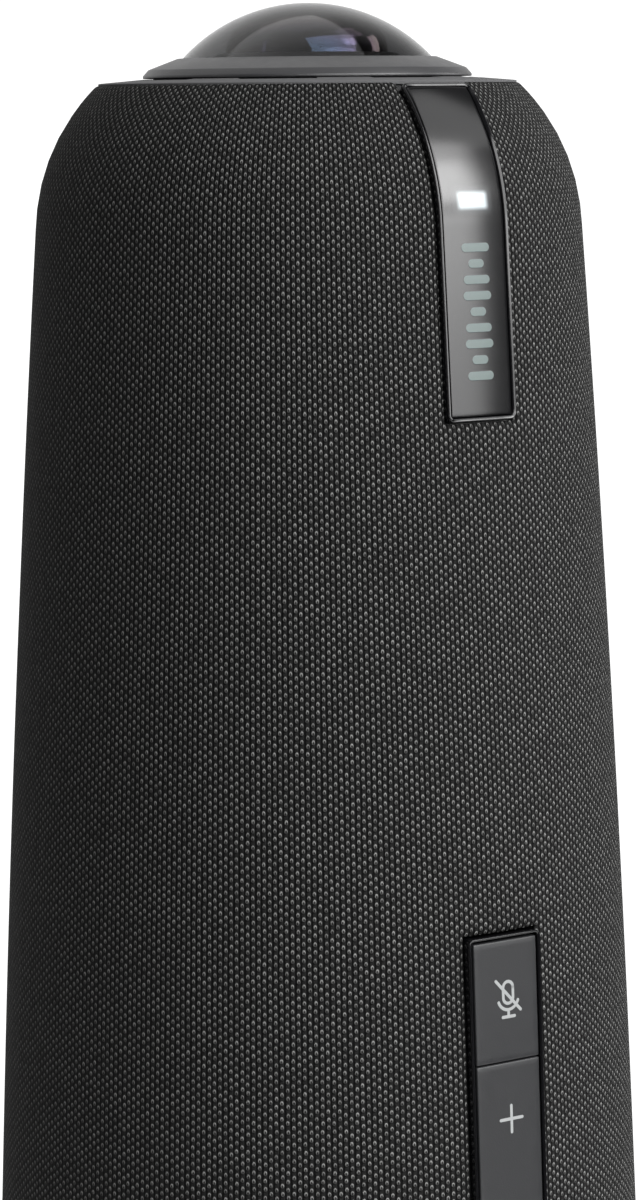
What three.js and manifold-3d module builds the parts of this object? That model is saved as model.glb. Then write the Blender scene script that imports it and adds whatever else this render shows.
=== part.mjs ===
// Conference speakerphone: a tapered fabric tower with an all-round camera under a clear dome.
// Millimetres, +Z up, origin at the centre of the foot's underside. The front (-Y) carries the badge
// strip and the button strip, and the ports are at the foot of the rear (+Y).
import * as THREE from "three";
import { mergeVertices } from "three/addons/utils/BufferGeometryUtils.js";
import Module from "manifold-3d";

const wasm = await Module();
wasm.setup();

// ---- Driving dimensions ----

// The fabric's outer surface: a tapered tower, and a round shoulder above it.
const BASE_RADIUS = 55.4;
const TAPER = 0.023;
const TAPER_GROWTH = 9.96e-5;
const SHOULDER_FOOT = 238;
const SHOULDER_CENTRE_RADIUS = 11.1;
const SHOULDER_CENTRE_Z = 236;
const SHOULDER_RADIUS = 33.3;
const SKIN_BOTTOM = 7.9;
const FABRIC_THICKNESS = 0.9;
const FABRIC_TOP_ANGLE = 46;
const SHELL_OUTSIDE = 1.2;
const SHELL_INSIDE = 3.4;
const SHELL_TOP_ANGLE = 41;
const BODY_SEGMENTS = 40;
const TOP_SEGMENTS = 28;
const INNER_SEGMENTS = 20;

// The base and the rear ports.
const FOOT_HEIGHT = 2.4;
const PLATE_TOP = 7.5;
const SCREW_CIRCLE = 44;
const SCREW_ANGLES = [0, 120, 240];
const TRIPOD_BORE_RADIUS = 3.175;
const BAY_HALF_WIDTH = 18.5;
const BAY_BOTTOM = 9;
const BAY_TOP = 27;
const BAY_BACK_Y = 42;
const PORT_FACE_Y = 43.5;
const PORT_Z = 17.5;
const USB_X = -9;
const POWER_X = 8.5;

// The camera at the top.
const DOME_TOP = 273.05;
const DOME_RADIUS = 27.6;
const DOME_WALL = 0.6;
const DOME_SKIRT_RADIUS = 20.25;
const DOME_BOTTOM = 260.9;
const LENS_TOP = 271.9;
const LENS_RIM_Z = 264.9;
const LENS_RIM_RADIUS = 13.1;
const LENS_FULLNESS = 2.5;
const PLATE_RIM_RADIUS = 34;
const MICROPHONES = 8;

// The two strips on the front.
const STRIP_WIDTH = 13.1;
const STRIP_FRAME = 0.6;
const STRIP_PROUD = 0.3;
const BADGE_BOTTOM = 208.3;
const BADGE_TOP_ANGLE = 45.8;
const LIGHT_Z = 242;
const CONTROL_WIDTH = 13.9;
const CONTROL_PROUD = 0.8;
const CONTROL_BOTTOM = 49.9;
const CONTROL_TOP = 128.6;
const SWITCH_NAMES = ["pairing", "volume_down", "volume_up", "mute"];
const BUTTON_PITCH = 19.3;
const BUTTON_GAP = 0.4;
const BUTTON_WIDTH = 12.3;
const OPENING_GAP = 0.3;

// The speakers, each facing out from the axis.
const SPEAKER_Z = 75;
const SPEAKER_ANGLES = [60, 180, 300];
const CHASSIS_BOTTOM = 42;
const CHASSIS_TOP = 108;

const root = new THREE.Group();

// ---- Materials ----

function finish(color, roughness, metalness = 0) {
  return new THREE.MeshStandardMaterial({ color, roughness, metalness });
}

const fabric = finish(0x5c5c5a, 0.95);
const glossBlack = finish(0x08080a, 0.12);
const satinGrey = finish(0x2a2b2c, 0.5);
const matteBlack = finish(0x121212, 0.7);
const plateGrey = finish(0x77777a, 0.55);
const rubber = finish(0x1a1a1a, 0.9);
const brass = finish(0xb08d4a, 0.35, 1);
const steel = finish(0xb8babd, 0.3, 1);
const aluminium = finish(0xa9abad, 0.45, 1);
const glass = finish(0x9aa0a4, 0.05);
const boardGreen = finish(0x1d4a33, 0.5);
const paper = finish(0x33312e, 0.85);
const lightWhite = finish(0xf4f4f0, 0.4);
const copperFlex = finish(0xa86a2c, 0.5);

// ---- Shape helpers ----

// A solid for joining and cutting, from a three.js geometry with closed faces.
function solid(geometry) {
  const bare = new THREE.BufferGeometry();
  const loose = geometry.index ? geometry.toNonIndexed() : geometry;
  bare.setAttribute("position", loose.getAttribute("position").clone());
  const merged = mergeVertices(bare, 1e-4);
  const corners = merged.index.array;
  const kept = [];
  for (let i = 0; i < corners.length; i += 3) {
    const [a, b, c] = corners.slice(i, i + 3);
    if (a !== b && b !== c && c !== a) kept.push(a, b, c);
  }
  return new wasm.Manifold(
    new wasm.Mesh({
      numProp: 3,
      vertProperties: new Float32Array(merged.getAttribute("position").array),
      triVerts: new Uint32Array(kept),
    }),
  );
}

// A joined or cut solid back as a three.js geometry.
function geometryOf(body) {
  const mesh = body.getMesh();
  const geometry = new THREE.BufferGeometry();
  geometry.setAttribute("position", new THREE.BufferAttribute(mesh.vertProperties.slice(), 3));
  geometry.setIndex(new THREE.BufferAttribute(mesh.triVerts.slice(), 1));
  geometry.computeVertexNormals();
  return geometry;
}

function cut(body, ...tools) {
  return tools.reduce((left, tool) => left.subtract(tool), body);
}

function join(...bodies) {
  return bodies.reduce((whole, body) => whole.add(body));
}

// A ring or a round body about +Z, from [radius, height] points that go round its section anticlockwise.
function turned(profile, segments = BODY_SEGMENTS) {
  const points = profile.map(([radius, height]) => new THREE.Vector2(radius, height));
  const closed = points[0].x > 0 ? [...points, points[0].clone()] : points;
  return solid(new THREE.LatheGeometry(closed, segments).rotateX(Math.PI / 2));
}

// A box from its lowest to its highest corner.
function block(low, high) {
  const size = high.map((value, i) => value - low[i]);
  const middle = high.map((value, i) => (value + low[i]) / 2);
  return solid(new THREE.BoxGeometry(...size).translate(...middle));
}

// A rod along Z from one height to another.
function rod(x, y, bottom, top, radius, segments = 16) {
  const cylinder = new THREE.CylinderGeometry(radius, radius, top - bottom, segments);
  return solid(cylinder.rotateX(Math.PI / 2).translate(x, y, (bottom + top) / 2));
}

// A rod along Y.
function crossRod(x, z, near, far, radius, segments = 16) {
  const cylinder = new THREE.CylinderGeometry(radius, radius, far - near, segments);
  return solid(cylinder.translate(x, (near + far) / 2, z));
}

// The point at a radius and an angle from the front, seen from above.
function around(radius, degrees) {
  const angle = THREE.MathUtils.degToRad(degrees);
  return [radius * Math.sin(angle), -radius * Math.cos(angle)];
}

function spun(body, degrees) {
  return body.rotate([0, 0, degrees]);
}

function add(name, body, material, parent = root) {
  const geometry = body.isBufferGeometry ? body : geometryOf(body);
  const mesh = new THREE.Mesh(geometry, material);
  mesh.name = name;
  parent.add(mesh);
  return mesh;
}

// ---- The body's side profile ----

function skinRadius(z) {
  return BASE_RADIUS - TAPER * z - TAPER_GROWTH * z * z;
}

// [radius, height] points up the body's side at a distance outside the fabric's face, from a height up
// to an angle on the shoulder.
function sideLine(outside, bottom, shoulderAngle, steps = 3) {
  const points = [];
  for (let i = 0; i < steps; i += 1) {
    const z = bottom + ((SHOULDER_FOOT - bottom) * i) / steps;
    points.push([skinRadius(z) + outside, z]);
  }
  const firstAngle = 3.44;
  const turns = 5;
  for (let i = 0; i <= turns; i += 1) {
    const angle = THREE.MathUtils.degToRad(firstAngle + ((shoulderAngle - firstAngle) * i) / turns);
    const radius = SHOULDER_RADIUS + outside;
    points.push([
      SHOULDER_CENTRE_RADIUS + radius * Math.cos(angle),
      SHOULDER_CENTRE_Z + radius * Math.sin(angle),
    ]);
  }
  return points;
}

// The section of a wall that follows the side between two distances from the fabric's face.
function sideWall(outer, inner, bottom, shoulderAngle, steps) {
  return [
    ...sideLine(outer, bottom, shoulderAngle, steps),
    ...sideLine(inner, bottom, shoulderAngle, steps).reverse(),
  ];
}

// A flat band up the front: a section of the side's wall, carried straight across in X.
function frontBand(profile, width) {
  const shape = new THREE.Shape(profile.map(([radius, z]) => new THREE.Vector2(radius, z)));
  const band = new THREE.ExtrudeGeometry(shape, { depth: width, bevelEnabled: false });
  const outward = new THREE.Vector3(0, -1, 0);
  const up = new THREE.Vector3(0, 0, 1);
  const across = new THREE.Vector3(-1, 0, 0);
  band.translate(0, 0, -width / 2);
  return solid(band.applyMatrix4(new THREE.Matrix4().makeBasis(outward, up, across)));
}

// ---- Base: rubber foot, base plate, tripod insert and screws ----

const footRing = turned([[38, 0], [49.4, 0], [50, 0.6], [50, FOOT_HEIGHT], [38, FOOT_HEIGHT]]);
add("foot_ring", footRing, rubber);

const basePlate = turned([
  [5.9, FOOT_HEIGHT], [52.4, FOOT_HEIGHT], [54.6, 4.2], [55.2, 6], [55.2, PLATE_TOP], [5.9, PLATE_TOP],
]);
const screwHoles = SCREW_ANGLES.map((angle) => {
  const [x, y] = around(SCREW_CIRCLE, angle);
  return join(rod(x, y, 1, 4.6, 3.3, 12), rod(x, y, 4, 9, 1.8, 12));
});
add("base_plate", cut(basePlate, ...screwHoles), satinGrey);

const tripodInsert = [
  [0, 10.5], [TRIPOD_BORE_RADIUS, 10.5], [TRIPOD_BORE_RADIUS, FOOT_HEIGHT], [5.6, FOOT_HEIGHT], [5.6, 12], [0, 12],
];
add("tripod_insert", turned(tripodInsert, INNER_SEGMENTS), brass);

SCREW_ANGLES.forEach((angle, i) => {
  const [x, y] = around(SCREW_CIRCLE, angle);
  const screw = turned([[0, 2.6], [3, 2.6], [3, 4.5], [1.4, 4.5], [1.4, 12.5], [0, 12.9]], 12);
  add("base_screw_" + (i + 1), screw.translate([x, y, 0]), steel);
});

// ---- Shells and fabric sleeve ----

// A hole in the front of the shell and the fabric, a little larger than the strip that stands in it.
function frontOpening(width, bottom, top, back) {
  const half = width / 2 + OPENING_GAP;
  return block([-half, -60, bottom - OPENING_GAP], [half, back, top + OPENING_GAP]);
}

const badgeOpening = frontOpening(STRIP_WIDTH, BADGE_BOTTOM, 262, -20);
const controlTilt = Math.atan2(skinRadius(CONTROL_BOTTOM) - skinRadius(CONTROL_TOP), CONTROL_TOP - CONTROL_BOTTOM);
const controlMiddle = (CONTROL_BOTTOM + CONTROL_TOP) / 2;
const controlFaceRadius = (skinRadius(CONTROL_BOTTOM) + skinRadius(CONTROL_TOP)) / 2;
const controlHalfHeight = (CONTROL_TOP - CONTROL_BOTTOM) / 2;
const controlOpening = frontOpening(CONTROL_WIDTH, CONTROL_BOTTOM, CONTROL_TOP, -44.5);
const portOpening = block(
  [-BAY_HALF_WIDTH - OPENING_GAP, 30, 6],
  [BAY_HALF_WIDTH + OPENING_GAP, 60, BAY_TOP + OPENING_GAP],
);

// Horizontal slots in the shell in front of each speaker, under the fabric.
function grilleSlots(angle) {
  const slots = [];
  for (let row = 0; row < 5; row += 1) {
    const z = SPEAKER_Z + (row - 2) * 8;
    const halfWidth = row === 0 || row === 4 ? 10 : 16;
    slots.push(spun(block([-halfWidth, -60, z - 2], [halfWidth, -40, z + 2]), angle));
  }
  return slots;
}

// The shell turns in at the bottom, as a ledge that the base screws bite into.
const LEDGE_TOP = 13;
const shellSection = [
  ...sideLine(-SHELL_OUTSIDE, SKIN_BOTTOM, SHELL_TOP_ANGLE),
  ...sideLine(-SHELL_INSIDE, LEDGE_TOP, SHELL_TOP_ANGLE).reverse(),
  [40, LEDGE_TOP],
  [40, SKIN_BOTTOM],
];
const pilotHoles = SCREW_ANGLES.map((angle) => rod(...around(SCREW_CIRCLE, angle), 7, 14, 1.7, 12));
const wholeShell = cut(
  turned(shellSection),
  badgeOpening,
  controlOpening,
  portOpening,
  ...pilotHoles,
  ...SPEAKER_ANGLES.flatMap(grilleSlots),
);
add("front_shell", cut(wholeShell, block([-70, -0.1, 0], [70, 70, 280])), matteBlack);
add("rear_shell", cut(wholeShell, block([-70, -70, 0], [70, 0.1, 280])), matteBlack);

const sleeve = turned(sideWall(0, -FABRIC_THICKNESS, SKIN_BOTTOM, FABRIC_TOP_ANGLE));
add("fabric_sleeve", cut(sleeve, badgeOpening, controlOpening, portOpening), fabric);

// ---- Badge strip: frame, window, light pipe and its board ----

const topPlateRoom = turned([[0, 257], [PLATE_RIM_RADIUS + 0.35, 257], [PLATE_RIM_RADIUS + 0.35, 264], [0, 264]]);
const badgeBody = frontBand(sideWall(STRIP_PROUD, -2.6, BADGE_BOTTOM, BADGE_TOP_ANGLE, 2), STRIP_WIDTH);
const badgeRecess = frontBand(
  sideWall(2, -1.4, BADGE_BOTTOM + STRIP_FRAME, BADGE_TOP_ANGLE - 1.2, 2),
  STRIP_WIDTH - 2 * STRIP_FRAME,
);
const lightHole = block([-3.2, -50, LIGHT_Z - 1.8], [3.2, -38, LIGHT_Z + 1.8]);
add("badge_bezel", cut(badgeBody, badgeRecess, lightHole, topPlateRoom), glossBlack);

const badgePanel = frontBand(
  sideWall(STRIP_PROUD - 0.1, -1.2, BADGE_BOTTOM + STRIP_FRAME + 0.2, BADGE_TOP_ANGLE - 1.6, 2),
  STRIP_WIDTH - 2 * STRIP_FRAME - 0.4,
);
add("badge_window", cut(badgePanel, topPlateRoom), glossBlack);

add("status_light_pipe", block([-2.8, -42.3, LIGHT_Z - 1.3], [2.8, -38.2, LIGHT_Z + 1.3]), lightWhite);
add("led_board", block([-6, -38, LIGHT_Z - 6], [6, -36.6, LIGHT_Z + 6]), boardGreen);

// ---- Button strip: frame, two buttons, a volume rocker, their switches and the board ----

// Inside this group the strip stands upright: Y = 0 is the line of the fabric's face and -Y is outward.
const controls = new THREE.Group();
controls.position.set(0, -controlFaceRadius, controlMiddle);
controls.rotation.x = -controlTilt;
root.add(controls);

const FACE_Y = -CONTROL_PROUD;
const CAP_BACK_Y = 1.15;
const TRAY_Y = 2;
const PIVOT_Y = 0.4;
const PIVOT_RADIUS = 0.6;
const halfStrip = CONTROL_WIDTH / 2;
const switchZ = SWITCH_NAMES.map((_, i) => (i - 1.5) * BUTTON_PITCH);

// A pin across the strip at the rocker's middle.
function crossPin(halfLength, radius) {
  return rod(0, 0, -halfLength, halfLength, radius, 12).rotate([0, 90, 0]).translate([0, PIVOT_Y, 0]);
}

const controlFrame = block([-halfStrip, FACE_Y, -controlHalfHeight], [halfStrip, 3, controlHalfHeight]);
const controlRecess = block(
  [-halfStrip + STRIP_FRAME - 0.05, -2, -controlHalfHeight + STRIP_FRAME],
  [halfStrip - STRIP_FRAME + 0.05, TRAY_Y, controlHalfHeight - STRIP_FRAME],
);
const postHoles = switchZ.map((z) => crossRod(0, z, 1, 4, 2.1));
const pivotHole = crossPin(halfStrip + 1, PIVOT_RADIUS + 0.08);
add("control_bezel", cut(controlFrame, controlRecess, pivotHole, ...postHoles), glossBlack, controls);

// A cap that covers a number of places on the strip, with a post behind each place that meets its switch.
function cap(first, places) {
  const middle = switchZ[first] + ((places - 1) * BUTTON_PITCH) / 2;
  const halfHeight = (places * BUTTON_PITCH - BUTTON_GAP) / 2;
  const plate = block(
    [-BUTTON_WIDTH / 2, FACE_Y, middle - halfHeight],
    [BUTTON_WIDTH / 2, CAP_BACK_Y, middle + halfHeight],
  );
  const posts = switchZ.slice(first, first + places).map((z) => crossRod(0, z, 0.5, 4.6, 1.5, 12));
  return join(plate, ...posts);
}

add("pairing_button", cap(0, 1), satinGrey, controls);
add("volume_rocker", join(cap(1, 2), crossPin(BUTTON_WIDTH / 2 + 0.5, PIVOT_RADIUS)), satinGrey, controls);
add("mute_button", cap(3, 1), satinGrey, controls);
SWITCH_NAMES.forEach((name, i) => {
  add(name + "_switch", block([-3, 5.3, switchZ[i] - 3], [3, 7, switchZ[i] + 3]), steel, controls);
});
add("control_board", block([-6, 7, -controlHalfHeight + 1], [6, 8.2, controlHalfHeight - 1]), boardGreen, controls);

// ---- Speakers: basket, magnet, cone and surround, three times ----

// Each is turned about its own axis, [radius, distance from the tower's axis], and then laid to face out.
function faceOut(body, angle) {
  return spun(body.rotate([90, 0, 0]).translate([0, 0, SPEAKER_Z]), angle);
}

const basketSection = [
  [7, 27.3], [13, 27.3], [14, 28.6], [19.2, 38.9], [22, 38.9], [22, 40.5], [18.4, 40.5], [13.1, 29.8], [7, 28.4],
];
const magnetSection = [
  [0, 14], [13, 14], [13, 27], [6.6, 27], [6.6, 20], [4.4, 20], [4.4, 27], [0, 27],
];
const coneSection = [
  [0, 37.2], [5, 35.2], [5, 24], [5.8, 24], [5.8, 34.6], [16.5, 39.9], [16.5, 40.7], [5.8, 35.8], [0, 38],
];
const surroundSection = [
  [16.9, 40.7], [21.6, 40.7], [21.6, 41.4], [20.4, 41.4], [19.4, 42.5], [18.1, 42.5], [16.9, 41.4],
];
SPEAKER_ANGLES.forEach((angle, i) => {
  const name = "speaker_" + (i + 1);
  add(name + "_basket", faceOut(turned(basketSection, INNER_SEGMENTS), angle), matteBlack);
  add(name + "_magnet", faceOut(turned(magnetSection, INNER_SEGMENTS), angle), steel);
  add(name + "_cone", faceOut(turned(coneSection, INNER_SEGMENTS), angle), paper);
  add(name + "_surround", faceOut(turned(surroundSection, INNER_SEGMENTS), angle), rubber);
});

// The chassis is a three-sided box on three legs, with rounded corners and a hole for each speaker.
function threeSided(inradius, cornerRadius, bottom, top) {
  return rod(0, 0, bottom, top, 2 * inradius, 3).intersect(rod(0, 0, bottom, top, cornerRadius, 24));
}

const chassisOutside = threeSided(38.5, 45, CHASSIS_BOTTOM, CHASSIS_TOP);
const chassisRoom = threeSided(36.5, 43, CHASSIS_BOTTOM + 2.5, CHASSIS_TOP - 2.5);
const driverHoles = SPEAKER_ANGLES.map((angle) => faceOut(rod(0, 0, 10, 50, 20, INNER_SEGMENTS), angle));
const legs = [60, 180, 300].map((angle) => rod(...around(32, angle), PLATE_TOP, CHASSIS_BOTTOM + 1, 3.5, 12));
const frontFlat = block([-60, -60, 30], [60, -41.5, 120]);
const hollowBox = cut(chassisOutside, chassisRoom, frontFlat, ...driverHoles);
add("speaker_chassis", join(hollowBox, ...legs), matteBlack);

// ---- Main board with its shield and heat sink, and the two antennas ----

const BOARD_FACE_Y = 8;
add("main_board", block([-30, BOARD_FACE_Y, CHASSIS_TOP], [30, BOARD_FACE_Y + 1.6, 214]), boardGreen);
add("processor_shield", block([-14, BOARD_FACE_Y - 3, 146], [14, BOARD_FACE_Y, 176]), steel);

const finBase = block([-18, BOARD_FACE_Y + 1.6, 142], [18, BOARD_FACE_Y + 4, 182]);
const fins = [];
for (let x = -17; x <= 17; x += 34 / 6) {
  fins.push(block([x - 0.8, BOARD_FACE_Y + 3, 142], [x + 0.8, BOARD_FACE_Y + 15, 182]));
}
add("heat_sink", join(finBase, ...fins), aluminium);

const antenna = block([40.4, -5, 176], [41.2, 5, 206]);
add("wifi_antenna_right", antenna, copperFlex);
add("wifi_antenna_left", spun(antenna, 180), copperFlex);

// ---- Camera: bracket, board, sensor, barrel, lenses, baffle, dome and collar ----

const BRACKET_TOP = 228.5;
const CAMERA_BOARD_Z = 236;
const bracketDisc = rod(0, 0, BRACKET_TOP - 2.5, BRACKET_TOP, 40.5, BODY_SEGMENTS);
const pedestal = rod(0, 0, BRACKET_TOP - 0.5, CAMERA_BOARD_Z, 12, INNER_SEGMENTS);
const posts = [60, 180, 300].map((angle) => rod(...around(25, angle), BRACKET_TOP - 0.5, 254.4, 2.2, 12));
const flexSlot = block([-8, 17, 220], [8, 21.5, 232]);
add("camera_bracket", join(cut(bracketDisc, flexSlot), pedestal, ...posts), matteBlack);

add("camera_board", block([-14, -14, CAMERA_BOARD_Z], [14, 14, CAMERA_BOARD_Z + 1.6]), boardGreen);
add("image_sensor", block([-4, -4, CAMERA_BOARD_Z + 1.6], [4, 4, CAMERA_BOARD_Z + 2.8]), matteBlack);

// The flex leaves the camera board's rear edge, drops through the bracket and ends over the main board.
const flexPath = [[14.2, 236.4], [19.6, 236.4], [19.6, 216.6], [8.4, 216.6], [8.4, 214.3]];
const flexBack = [[9, 214.3], [9, 216], [20.2, 216], [20.2, 237], [14.2, 237]];
const flexShape = new THREE.Shape([...flexPath, ...flexBack].map(([y, z]) => new THREE.Vector2(y, z)));
const flex = new THREE.ExtrudeGeometry(flexShape, { depth: 12, bevelEnabled: false });
const rearward = new THREE.Vector3(0, 1, 0);
const upward = new THREE.Vector3(0, 0, 1);
const sideways = new THREE.Vector3(1, 0, 0);
flex.translate(0, 0, -6).applyMatrix4(new THREE.Matrix4().makeBasis(rearward, upward, sideways));
add("camera_flex", solid(flex), copperFlex);

const barrelSection = [
  [6.6, 237.8], [9.5, 237.8], [9.5, 256], [6.6, 256], [6.6, 250], [6, 250], [6, 246], [6.6, 246],
];
add("lens_barrel", turned(barrelSection, INNER_SEGMENTS), matteBlack);
add("rear_lens", turned([[0, 250.2], [4, 250.3], [6.3, 250.8], [6.3, 253], [4, 253.8], [0, 254.2]], 16), glass);

// An arc of [radius, height] points about a centre on the axis, from one radius to another.
function crownLine(sphereRadius, top, fromRadius, toRadius, steps) {
  const centre = top - sphereRadius;
  const start = Math.asin(fromRadius / sphereRadius);
  const end = Math.asin(toRadius / sphereRadius);
  const points = [];
  for (let i = 0; i <= steps; i += 1) {
    const angle = start + ((end - start) * i) / steps;
    points.push([sphereRadius * Math.sin(angle), centre + sphereRadius * Math.cos(angle)]);
  }
  return points;
}

// The lens's face, from its rim to the axis: a fuller arc than an ellipse's, with the powers of the cosine
// and the sine below 1.
function lensFace(steps) {
  const power = 2 / LENS_FULLNESS;
  const points = [];
  for (let i = 0; i < steps; i += 1) {
    const turn = ((Math.PI / 2) * i) / steps;
    const height = (LENS_TOP - LENS_RIM_Z) * Math.sin(turn) ** power;
    points.push([LENS_RIM_RADIUS * Math.cos(turn) ** power, LENS_RIM_Z + height]);
  }
  return [...points, [0, LENS_TOP]];
}

const lensSection = [
  ...crownLine(16, 261, 0, 10, 2),
  [11.4, 258.4],
  [11.4, 262],
  [13.9, 262],
  [13.9, 263.2],
  [13.2, 264],
  ...lensFace(6),
];
add("front_lens", turned(lensSection, TOP_SEGMENTS), glass);

const baffleSection = [
  [11.8, 256.4], [14.5, 256.4], [18.4, 260.4], [18.4, 262.6], [14.4, 264.9], [13.7, 264.9], [14.2, 264.2],
  [14.2, 261.7], [11.8, 261.7],
];
add("lens_baffle", turned(baffleSection, TOP_SEGMENTS), matteBlack);

const domeInner = DOME_SKIRT_RADIUS - DOME_WALL;
const domeSection = [
  [domeInner, DOME_BOTTOM],
  [DOME_SKIRT_RADIUS, DOME_BOTTOM],
  ...crownLine(DOME_RADIUS, DOME_TOP, DOME_SKIRT_RADIUS, 0, 6),
  ...crownLine(DOME_RADIUS - DOME_WALL, DOME_TOP - DOME_WALL, 0, domeInner, 4),
];
add("clear_dome", domeSolid(domeSection), glass);

// The dome is open below, so its section starts and ends on the axis at the crown.
function domeSolid(section) {
  const crown = section.findIndex(([radius]) => radius < 1e-6);
  const inward = section.slice(crown + 1);
  const outward = section.slice(0, crown + 1);
  return turned([[0, inward[0][1]], ...inward.slice(1), ...outward.slice(0, -1), [0, DOME_TOP]], TOP_SEGMENTS);
}

const collarSection = [[20.5, 261.1], [26.6, 261.1], [26.6, 261.5], [25.7, 262.5], [20.9, 264.3], [20.5, 264.2]];
add("lens_collar", turned(collarSection), satinGrey);

// ---- Top plate, microphone ring board and its gasket ----

const topPlate = turned([
  [18.9, 257.8], [32.4, 257.8], [33, 258.6], [33, 260.1], [PLATE_RIM_RADIUS, 260.1], [PLATE_RIM_RADIUS, 260.45],
  [26.6, 261], [25.4, 260.75], [18.9, 260.65],
]);
const microphoneSlots = [];
for (let i = 0; i < MICROPHONES; i += 1) {
  microphoneSlots.push(spun(block([-6.8, -28.4, 256], [6.8, -25.2, 263]), (360 / MICROPHONES) * i));
}
add("top_plate", cut(topPlate, ...microphoneSlots), plateGrey);

let ringBoard = turned([[20.5, 254.6], [31, 254.6], [31, 256], [20.5, 256]], 24);
let gasket = turned([[22, 257.2], [31, 257.2], [31, 257.65], [22, 257.65]], 24);
for (let i = 0; i < MICROPHONES; i += 1) {
  const angle = (360 / MICROPHONES) * i;
  ringBoard = join(ringBoard, spun(block([-2, -28, 255.5], [2, -25, 257.05]), angle));
  gasket = cut(gasket, spun(rod(0, -26.6, 256, 259, 1.2, 6), angle));
}
add("mic_ring_board", ringBoard, boardGreen);
add("mic_gasket", gasket, rubber);

// ---- Rear ports ----

const bayOutside = block([-BAY_HALF_WIDTH, BAY_BACK_Y, BAY_BOTTOM], [BAY_HALF_WIDTH, 60, BAY_TOP]);
const bayRoom = block([-BAY_HALF_WIDTH + 1.5, PORT_FACE_Y, BAY_BOTTOM + 1.5], [BAY_HALF_WIDTH - 1.5, 62, BAY_TOP - 1.5]);
const bodyRound = turned([[0, 2], [55.1, 2], [54.6, 30], [0, 30]]);
const usbHole = block([USB_X - 4.9, 40, PORT_Z - 2], [USB_X + 4.9, 46, PORT_Z + 2]);
const powerHole = crossRod(POWER_X, PORT_Z, 40, 46, 3.9);
add("rear_port_panel", cut(bayOutside, bayRoom, usbHole, powerHole).intersect(bodyRound), matteBlack);

// The USB-C socket is a steel tube, closed behind, with the contact tongue standing in it.
function roundEnded(halfWidth, halfHeight, near, far) {
  const straight = halfWidth - halfHeight;
  return join(
    block([-straight, near, -halfHeight], [straight, far, halfHeight]),
    crossRod(-straight, 0, near, far, halfHeight, 12),
    crossRod(straight, 0, near, far, halfHeight, 12),
  );
}
const usbTube = cut(roundEnded(4.6, 1.7, 37.4, 43.6), roundEnded(4.25, 1.35, 38.4, 45));
const usbTongue = block([-3.3, 38, -0.35], [3.3, 42.8, 0.35]);
add("usb_c_socket", join(usbTube, usbTongue).translate([USB_X, 0, PORT_Z]), steel);

const powerBody = block([POWER_X - 4.8, 37.4, PORT_Z - 5], [POWER_X + 4.8, 41.8, PORT_Z + 5]);
const powerNose = crossRod(POWER_X, PORT_Z, 41, 43.7, 3.6);
const powerBore = crossRod(POWER_X, PORT_Z, 38.4, 45, 2.75);
const powerPin = crossRod(POWER_X, PORT_Z, 38, 43, 0.85, 8);
add("power_socket", join(cut(join(powerBody, powerNose), powerBore), powerPin), matteBlack);

const lockPlate = block([-2.6, PORT_FACE_Y, PORT_Z - 5], [2.4, PORT_FACE_Y + 0.8, PORT_Z + 5]);
const lockSlot = block([-1.6, 40, PORT_Z - 3.5], [1.4, 46, PORT_Z + 3.5]);
add("lock_slot_plate", cut(lockPlate, lockSlot), steel);

add("port_board", block([-17, 35.8, 9.5], [17, 37.4, 38]), boardGreen);

export default root;
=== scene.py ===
import math

import bmesh
import bpy
import numpy as np
from mathutils import Matrix, Vector


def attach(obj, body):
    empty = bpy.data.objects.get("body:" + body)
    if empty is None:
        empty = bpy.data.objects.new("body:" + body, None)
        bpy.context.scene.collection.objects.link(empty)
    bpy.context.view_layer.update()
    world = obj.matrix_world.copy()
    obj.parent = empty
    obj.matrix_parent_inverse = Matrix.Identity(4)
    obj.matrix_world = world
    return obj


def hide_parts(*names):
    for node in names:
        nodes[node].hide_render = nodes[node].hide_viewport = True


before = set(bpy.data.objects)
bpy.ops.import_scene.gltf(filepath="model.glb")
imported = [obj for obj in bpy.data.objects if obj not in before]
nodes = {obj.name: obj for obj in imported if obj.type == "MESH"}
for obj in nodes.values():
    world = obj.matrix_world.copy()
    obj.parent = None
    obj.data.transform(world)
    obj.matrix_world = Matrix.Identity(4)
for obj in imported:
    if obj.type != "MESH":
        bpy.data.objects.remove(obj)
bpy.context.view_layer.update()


# ---- Camera and studio ----
# A longish lens stands to the left of the front, level with the dome and tipped down, so the two strips on
# the front turn away to the right. A wide soft box over the front lights the cloth, smaller ones on the right
# draw the highlights in the glossy strips, and a narrow one on the left draws their edges.

CAMERA_AZIMUTH = -34.7
CAMERA_DISTANCE = 0.620
CAMERA_HEIGHT = 0.2574
CAMERA_DIP = 7.5
CAMERA_ROLL = -0.58
CAMERA_TURN = -0.103
LENS_MM = 113.85
FLOOR_RADIUS = 0.235
FLOOR_DROP = 0.0001
FLOOR_SIDES = 96
WALL_GREY = 0.045
SWEEP_WHITE = 1.2
NEAR_GREY = 0.03
THROUGH_NEAR_GREY = 0.02
THROUGH_GREY = 0.09
BACK_GREY = 0.9
BACK_STARTS, BACK_FULL = -0.05, -0.6
AIM = Vector((0, 0, 0.17))


def from_front(azimuth, elevation, distance):
    """The vector at an azimuth turned from -Y towards +X, an elevation in degrees and a length."""
    a, e = math.radians(azimuth), math.radians(elevation)
    level = distance * math.cos(e)
    return Vector((level * math.sin(a), -level * math.cos(a), distance * math.sin(e)))


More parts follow.
